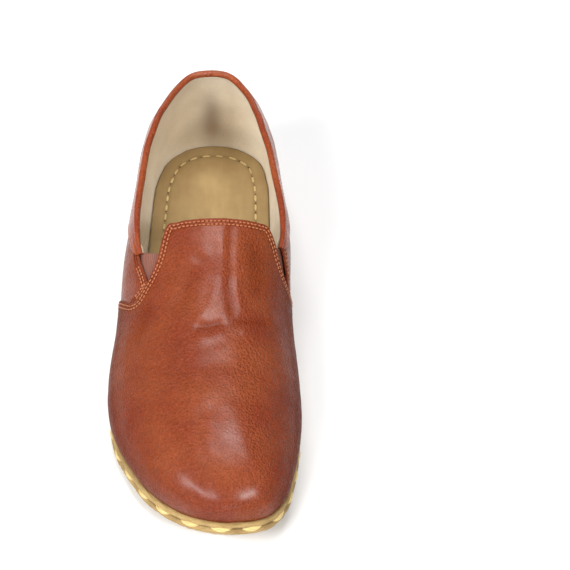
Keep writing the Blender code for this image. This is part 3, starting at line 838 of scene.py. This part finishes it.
for side, (around, up) in zip((-1, 1), frontEnds):
    for number, distance in enumerate((quarter["stripRow"], quarter["secondStripRow"])):
        place, out = wallPlace(*walkIn(around, up, -side * distance))
        line = place + out * 0.00002
        shown = (levelLine > (0.74 if side < 0 else 0.50)) & (levelLine < 0.985)
        label = "quarter_stitch_%s_%d" % ("outer" if side < 0 else "inner", number + 1)
        sizes = dict(quarter["stitch"], seed=30 + number)
        threadRow(label, line[shown], out[shown], sizes, stitchFinish)

# rolled collar binding
binding = {
    "radius": 0.0018,
    "cornerShare": 0.70,
    "bandCornerShare": 0.16,
    "band": 0.009,
    "bandThickness": 0.0008,
    "stitchDepth": 0.0076,
    "wave": (0.00006, 0.009, 41),
    "stitch": stitchSizes(0.0024, 0.002, 0.00062, 0.0005, 0.00016, 0.00012, margin=0.002, seed=44),
}


# a place on the wall at one depth under the top line
def underCollar(around, up, depth):
    climb = np.linalg.norm(lastWall(around, up) - lastWall(around, up - 0.01), axis=-1) / 0.01
    return up - depth / climb


def growing(share, fromCorner):
    return share + (1 - share) * fromCorner


# profile: down the band's inside, back up its outside with a rolled lower edge, then round the roll;
# its marks are painted shade under the roll, in the stitch groove and along the band's lower edge
def bindingProfile(around, fromCorner):
    up = collarUp(around)
    size = growing(binding["cornerShare"], fromCorner)
    deep = growing(binding["bandCornerShare"], fromCorner)
    edge = lastWall(around, up)
    out, rising, _ = wallFrame(around, up)
    gap = last["gap"]
    bandOut = gap + binding["bandThickness"]
    radius = size[:, None] * binding["radius"]
    lines = [edge - last["leather"] * out + gap * rising, edge + gap * out + gap * rising]
    marks = [0.5, 0.3]
    groove = binding["stitchDepth"]
    for depth in np.linspace(0.15, 1.0, 8) * binding["band"]:
        place, outward = wallPlace(around, underCollar(around, up, depth * deep))
        lines.append(place + gap * outward)
        marks.append(0.1)
    for depth in np.linspace(1.0, 0.06, 20) * binding["band"]:
        place, outward = wallPlace(around, underCollar(around, up, depth * deep))
        fromEnd = binding["band"] - depth
        thick = gap + binding["bandThickness"] * math.sqrt(min(1.0, 0.15 + fromEnd / 0.001))
        thick -= 0.0002 * math.exp(-((depth - groove) / 0.0006)**2)
        lines.append(place + thick * outward)
        marks.append(0.30 * math.exp(-((depth - groove) / 0.0007)**2) + 0.25 * math.exp(-fromEnd / 0.0006))
    for angle in np.radians(np.linspace(-28, 208, 26)):
        across = (bandOut - last["leather"]) / 2 + radius * math.cos(angle)
        lines.append(edge + across * out + (gap + radius * (0.8 + math.sin(angle))) * rising)
        marks.append(0.22 * max(0.0, -math.sin(angle)) + 0.02)
    return np.stack(lines, 1), np.array(marks)


bindingShare = np.linspace(-1, 1, 520)
bindingAround = quarterPlaces(bindingShare, np.array([1.0]))[0][0]
fromCorner = np.clip((1 - np.abs(bindingShare)) / 0.16, 0, 1)
bindingPoints, bindingPaintedShade = bindingProfile(bindingAround, fromCorner)
bindingPoints += wavy(bindingPoints, [binding["wave"]])[..., None] * np.array([1.0, 1.0, 0.6])
stations, ringCount = bindingPoints.shape[:2]
faces = [gridFaces(stations, ringCount, closeColumns=True), ladder(0, ringCount),
         ladder((stations - 1) * ringCount, ringCount)]
# painted shade from the profile's marks
bindingShade = np.broadcast_to(bindingPaintedShade, (stations, ringCount))
bindingPiece = makePiece("binding_roll", bindingPoints, np.concatenate(faces), bindingFinish,
                         {"shade": bindingShade}, 75)
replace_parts(bindingPiece, "collar_binding")
bandShare = growing(binding["bandCornerShare"], fromCorner)
stitchUp = underCollar(bindingAround, collarUp(bindingAround), binding["stitchDepth"] * bandShare)
stitchLine, stitchOut = wallPlace(bindingAround, stitchUp)
stitchLine += stitchOut * (last["gap"] + binding["bandThickness"] - 0.0002)
bindingThread = threadRow("binding_stitch", stitchLine, stitchOut, binding["stitch"], stitchFinish)
print("binding made")

# elastic gussets
gore = {"thickness": 0.0012, "outerGap": 0.00015, "innerGap": 0.0005, "ribPitch": 0.00095, "ribHeight": 0.00018}


# bilinear patch between its rear and front lines, with ribs that run up it
def makeGore(name, rows, side, gap):
    row = np.linspace(0, 1, 60)[:, None]
    share = np.linspace(0, 1, 110)[None, :]
    read = tableReader(goreNames, rows)
    rearRound, rearUp, frontRound, frontUp = (read(line, row) for line in goreNames[1:])
    around = side * (rearRound + (frontRound - rearRound) * share)
    up = rearUp + (frontUp - rearUp) * share
    base, out = wallPlace(around, up)
    width = np.linalg.norm(np.diff(base[30], axis=0), axis=1).sum()
    rib = 0.5 + 0.5 * np.cos(2 * math.pi * share * round(width / gore["ribPitch"]))
    rib = np.broadcast_to(rib, around.shape)
    face = last["leather"] + gap + gore["ribHeight"] * (1 - rib)
    back = last["leather"] + gap + gore["thickness"] - gore["ribHeight"] * (1 - rib)
    outer, inner = (base - out * depth[..., None] for depth in (face, back))
    piece = shellPiece(name, outer, inner, elastic, {"rib": rib}, None)
    return piece


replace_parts(makeGore("gore_elastic_outer", goreOuterRows, -1, gore["outerGap"]), "gore_outer")
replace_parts(makeGore("gore_elastic_inner", goreInnerRows, 1, gore["innerGap"]), "gore_inner")
print("gussets made")

# insole: a net between the two sides of its rim, dished, rounded at the rim, with a dip along its stitches
insole = {
    "ringCount": 700,
    "stitchInset": 0.0072,
    "pucker": 0.0005,
    "wave": (0.00012, 0.022, 51),
    "hole": stitchSizes(0.0074, 0.0024, 0.0011, 0.0006, 0.0003, 0.00025, seed=53, jitter=0.0, uneven=0.0),
    "stitch": stitchSizes(0.0074, 0.0056, 0.0015, 0.001, 0.00045, 0.00025, jitter=0.02, uneven=0.10, seed=52,
                          alongFaces=14, aroundFaces=8, taper=0.45, ply=0.10, twists=3),
}


# places round the sole: heel, toe by way of the little toe, and back
def roundSole(count):
    around = np.arange(count) / (count / 2)
    return np.where(around <= 1, -around, 2 - around)


# ring round the sole at an inset, lifted with the floor line
def soleRing(inset, height, around):
    edge, outward = soleEdge(around)
    place = edge - outward * inset
    return np.concatenate([place, (height + floorRise(place[..., 1]))[..., None]], -1), outward


insoleTop = weltTop + last["insoleTop"]
rungs = np.concatenate([[0.0004], np.linspace(0.006, 0.994, 190), [0.9996]])
cross = np.sin(np.linspace(-1, 1, 110) * math.pi / 2)
outerEdge, innerEdge = (soleRing(insoleInset, 0.0, turn * rungs)[0] for turn in (-1, 1))
mixShare = ((cross + 1) / 2)[None, :, None]
insoleGrid = outerEdge[:, None] * (1 - mixShare) + innerEdge[:, None] * mixShare
insoleGrid[..., 2] = floorRise(insoleGrid[..., 1])
rimRing = roundSole(insole["ringCount"])
rim = soleRing(insoleInset, 0.0, rimRing)[0]
stitchRing = soleRing(insoleInset + insole["stitchInset"], 0.0, rimRing)[0]
flatGrid = insoleGrid * np.array([1.0, 1.0, 0.0])
fromRim = distanceTo(flatGrid, rim * np.array([1.0, 1.0, 0.0]))
fromStitch = distanceTo(flatGrid, stitchRing * np.array([1.0, 1.0, 0.0]))
dish = -0.0006 * np.clip(fromRim / 0.02, 0, 1)
pucker = -insole["pucker"] * np.exp(-(fromStitch / 0.0013)**2)
rounding = -0.0008 * (1 - np.clip(fromRim / 0.001, 0, 1))**2
insoleUpper = insoleGrid.copy()
insoleUpper[..., 2] += insoleTop + dish + pucker + rounding + wavy(flatGrid, [insole["wave"]])
insoleLower = insoleGrid.copy()
insoleLower[..., 2] += last["outsole"] + last["gap"]
# painted shade in the dip along the stitches, and a painted shadow line at the rim, where the insole meets the
# lining
insoleShade = np.clip(0.30 * np.exp(-(fromStitch / 0.0011)**2) + 0.35 * np.exp(-fromRim / 0.002), 0, 0.6)
insolePiece = shellPiece("insole_plate", insoleUpper, insoleLower, insoleFinish, {"shade": insoleShade}, 50)
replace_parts(insolePiece, "insole")
insoleRingWay = np.linalg.norm(stitchRing - np.roll(stitchRing, 1, axis=0), axis=1).sum()
insoleCount = round(insoleRingWay / insole["stitch"]["pitch"])
insoleStitchLine = stitchRing + np.array([0, 0, insoleTop - 0.0006 - insole["pucker"] * 0.6])
upwards = np.tile([0.0, 0.0, 1.0], (insole["ringCount"], 1))
halfPitch = int(insole["ringCount"] * 0.5 / insoleCount)
# dark lenses in the gaps between the insole's stitches: the stitch holes, with painted shadow along the rest of
# each gap
insoleHoleShadows = threadRow("insole_hole_shadow", np.roll(insoleStitchLine, -halfPitch, axis=0), upwards,
                        insole["hole"], holeShadowFinish, closed=True)
insoleStitches = threadRow("insole_stitch", insoleStitchLine, upwards,
                           insole["stitch"], insoleThread, closed=True)
print("insole made")

# sole edge: outsole, welt and the waxed thread in their groove
sole = {
    "stations": 1280,
    "groove": 0.0013,
    "stitch": stitchSizes(0.016, 0.0102, 0.003, 0.0016, 0.0008, 0.0006, jitter=0.03, uneven=0.08, seed=61,
                          alongFaces=18, aroundFaces=12, taper=0.75, ply=0.06, twists=2, tilt=0.045),
}
# side tables: share of the layer's thickness, inset as a share of the groove's depth
outsoleSide = ((0.00, 1.15), (0.06, 0.75), (0.16, 0.35), (0.35, 0.00), (0.55, 0.00), (0.72, 0.12),
               (0.88, 0.45), (1.00, 1.00))
weltSide = ((0.00, 1.00), (0.12, 0.55), (0.28, 0.25), (0.48, 0.15), (0.66, 0.25), (0.82, 0.48),
            (0.94, 0.85), (1.00, 1.25))

count = sole["stations"]
soleAround = roundSole(count)
rimLine, rimOut = soleRing(0.0, 0.0, soleAround)
rimWay = wayAlong(np.vstack([rimLine, rimLine[:1]]))
stitchCount = round(rimWay[-1] / sole["stitch"]["pitch"])
phase = rimWay[:-1] / rimWay[-1] * stitchCount % 1.0
fromHole = np.minimum(phase, 1 - phase) * rimWay[-1] / stitchCount
pinch = np.exp(-(fromHole / 0.0026)**2)


# one layer's side: rows of its side table round the sole, with fibres, wavy lips and stitch holes,
# and painted shade in the dimples at the stitch holes and on the tucked-in rows where the layers meet
def layerSide(side, bottom, thickness, seed, wave, hole):
    rows = []
    shades = []
    for up, inset in side:
        flatRing = soleRing(inset * sole["groove"], bottom + up * thickness, soleAround)[0]
        rough = 0.00012 * waver(flatRing, 0.0032, seed) + 0.0001 * waver(flatRing, 0.0075, seed + 1)
        near = pinch * (up if hole < 0 else 1 - up)
        lift = wave * up * (0.6 * waver(flatRing * np.array([1, 1, 0]), 0.0125, seed + 2) - 0.5 * pinch)
        ring = flatRing.copy()
        ring[:, :2] += rimOut * (rough - 0.0003 * near - 0.0002)[:, None]
        ring[:, 2] += np.clip(lift, -0.0006, 0.0003 if wave else 0.0)
        rows.append(ring)
        shades.append(np.clip(0.30 * near + 0.30 * (inset > 0.9), 0, 0.85))
    return np.stack(rows), np.stack(shades)


outsoleRows, outsoleShade = layerSide(outsoleSide, 0.0, last["outsole"], 71, 0.0, -1)
outsoleRows[0, :, 2] = floorRise(outsoleRows[0, :, 1])
outsoleFaces = [gridFaces(len(outsoleRows), count, closeColumns=True), ladder(0, count),
                ladder((len(outsoleRows) - 1) * count, count)]
outsolePiece = makePiece("outsole_hide", outsoleRows, np.concatenate(outsoleFaces), outsoleFinish,
                         {"shade": outsoleShade}, 50)
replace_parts(outsolePiece, "outsole")

# the welt is a closed ring: its side, then over its top and back down inside
weltBottom = last["outsole"] + last["gap"]
weltRows, weltShade = layerSide(weltSide, weltBottom, last["welt"], 81, 0.0007, 1)
flangeRows = []
for inset, drop in ((0.0022, 0.0), (0.0029, 0.0), (0.0036, 0.0001), (0.005, 0.0002)):
    ring = soleRing(inset, weltTop - drop, soleAround)[0]
    ring[:, 2] += np.clip(0.00018 * waver(ring, 0.004, 85), -0.0004, 0.0003)
    flangeRows.append(ring)
flangeRows.append(soleRing(0.005, weltBottom, soleAround)[0])
weltRows = np.concatenate([weltRows, np.stack(flangeRows)])
# painted shade on the welt's flange, deepening inwards under the upper's edge
flangeShade = np.array([0.05, 0.35, 0.75, 0.8, 0.8])[:, None]
weltShade = np.concatenate([weltShade, np.broadcast_to(flangeShade, (5, count))])
weltPiece = makePiece("welt_hide", weltRows, gridFaces(len(weltRows), count, closeRows=True, closeColumns=True),
                      weltFinish, {"shade": weltShade}, 60)
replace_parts(weltPiece, "welt")
threadLine = soleRing(sole["groove"] * 0.55, last["outsole"] + 0.0002, soleAround)[0]
soleStitches = threadRow("sole_thread", threadLine, np.concatenate([rimOut, np.zeros((count, 1))], -1),
                         sole["stitch"], soleThread, closed=True)
print("sole made")

# floor, light and camera
studio = {"floor": 6.0, "floorColour": (0.90, 0.90, 0.90), "world": 0.09}


half = studio["floor"] / 2
floorMesh = bpy.data.meshes.new("floor")
corners = [(-half, -half, 0), (half, -half, 0), (half, half, 0), (-half, half, 0)]
floorMesh.from_pydata(corners, [], [(0, 1, 2, 3)])
floorMesh.materials.append(dressShader(newFinish("studioFloor")[0], {
    "Base Color": studio["floorColour"], "Roughness": 0.9, "Specular IOR Level": 0.1}))
floor = bpy.data.objects.new("floor", floorMesh)
bpy.context.scene.collection.objects.link(floor)

# lamps: name, place, target, size in metres and power in watts
lamps = (
    ("softboxAbove", (0.00, 0.13, 1.25), (0.0, 0.0, 0.03), (0.64, 0.36), 8.3),
    ("softboxFrontLeft", (-0.82, -0.90, 1.10), (0.0, 0.0, 0.03), (1.05, 0.20), 26.0),
    ("softboxFrontRight", (0.48, -1.03, 1.12), (0.0, 0.0, 0.03), (0.26, 0.20), 11.5),
    ("softboxLow", (-0.10, -1.30, 0.42), (0.0, -0.1, 0.03), (0.9, 0.2), 2.0),
    ("softboxBack", (0.0, 1.2, 1.0), (0.0, 0.1, 0.03), (1.2, 0.5), 6.0),
)
for name, place, target, size, power in lamps:
    light = bpy.data.lights.new(name, "AREA")
    light.shape = "RECTANGLE"
    light.size, light.size_y = size
    light.energy = power
    lamp = bpy.data.objects.new(name, light)
    lamp.location = place
    lamp.rotation_euler = (Vector(target) - Vector(place)).to_track_quat("-Z", "Y").to_euler()
    bpy.context.scene.collection.objects.link(lamp)

world = bpy.data.worlds.new("studio")
world.use_nodes = True
feed(world.node_tree, world.node_tree.nodes["Background"],
     {"Color": (1.0, 1.0, 1.0), "Strength": studio["world"]})
bpy.context.scene.world = world

# the camera's place round the shoe, in degrees, metres and pixels of a 570 pixel wide frame
view = {
    "elevation": 46.0,
    "azimuth": -0.2,
    "roll": -0.69,
    "distance": 1.15681,
    "focalPixels": 2251.64,
    "frame": 570,
    "targetPixel": (211.31, 297.77),
    "target": (0.0, 0.0, 0.030),
}


# looks from its place at the target, is rolled, then turned so that the target falls on its pixel
def makeCamera():
    elevation, azimuth, roll = (math.radians(view[key]) for key in ("elevation", "azimuth", "roll"))
    back = np.array([math.sin(azimuth) * math.cos(elevation), -math.cos(azimuth) * math.cos(elevation),
                     math.sin(elevation)])
    right = np.array([math.cos(azimuth), math.sin(azimuth), 0.0])
    axes = np.stack([right, np.cross(back, right), back])
    turn = np.array([[math.cos(roll), -math.sin(roll), 0], [math.sin(roll), math.cos(roll), 0], [0, 0, 1]])
    axes = turn @ axes
    centre = view["frame"] / 2
    ray = Vector(((view["targetPixel"][0] - centre) / view["focalPixels"],
                  -(view["targetPixel"][1] - centre) / view["focalPixels"], -1.0)).normalized()
    shift = Vector((0.0, 0.0, -1.0)).rotation_difference(ray).to_matrix()
    axes = np.array(shift) @ axes
    data = bpy.data.cameras.new("camera")
    data.sensor_fit = "HORIZONTAL"
    data.sensor_width = 36.0
    data.lens = view["focalPixels"] / view["frame"] * data.sensor_width
    data.clip_start = 0.01
    camera = bpy.data.objects.new("camera", data)
    place = np.array(view["target"]) + back * view["distance"]
    matrix = np.eye(4)
    matrix[:3, :3] = axes.T
    matrix[:3, 3] = place
    camera.matrix_world = Matrix(matrix.tolist())
    bpy.context.scene.collection.objects.link(camera)
    bpy.context.scene.camera = camera


makeCamera()
# plain colours, so that the white floor stays white
bpy.context.scene.view_settings.view_transform = "Standard"
print("scene dressed")
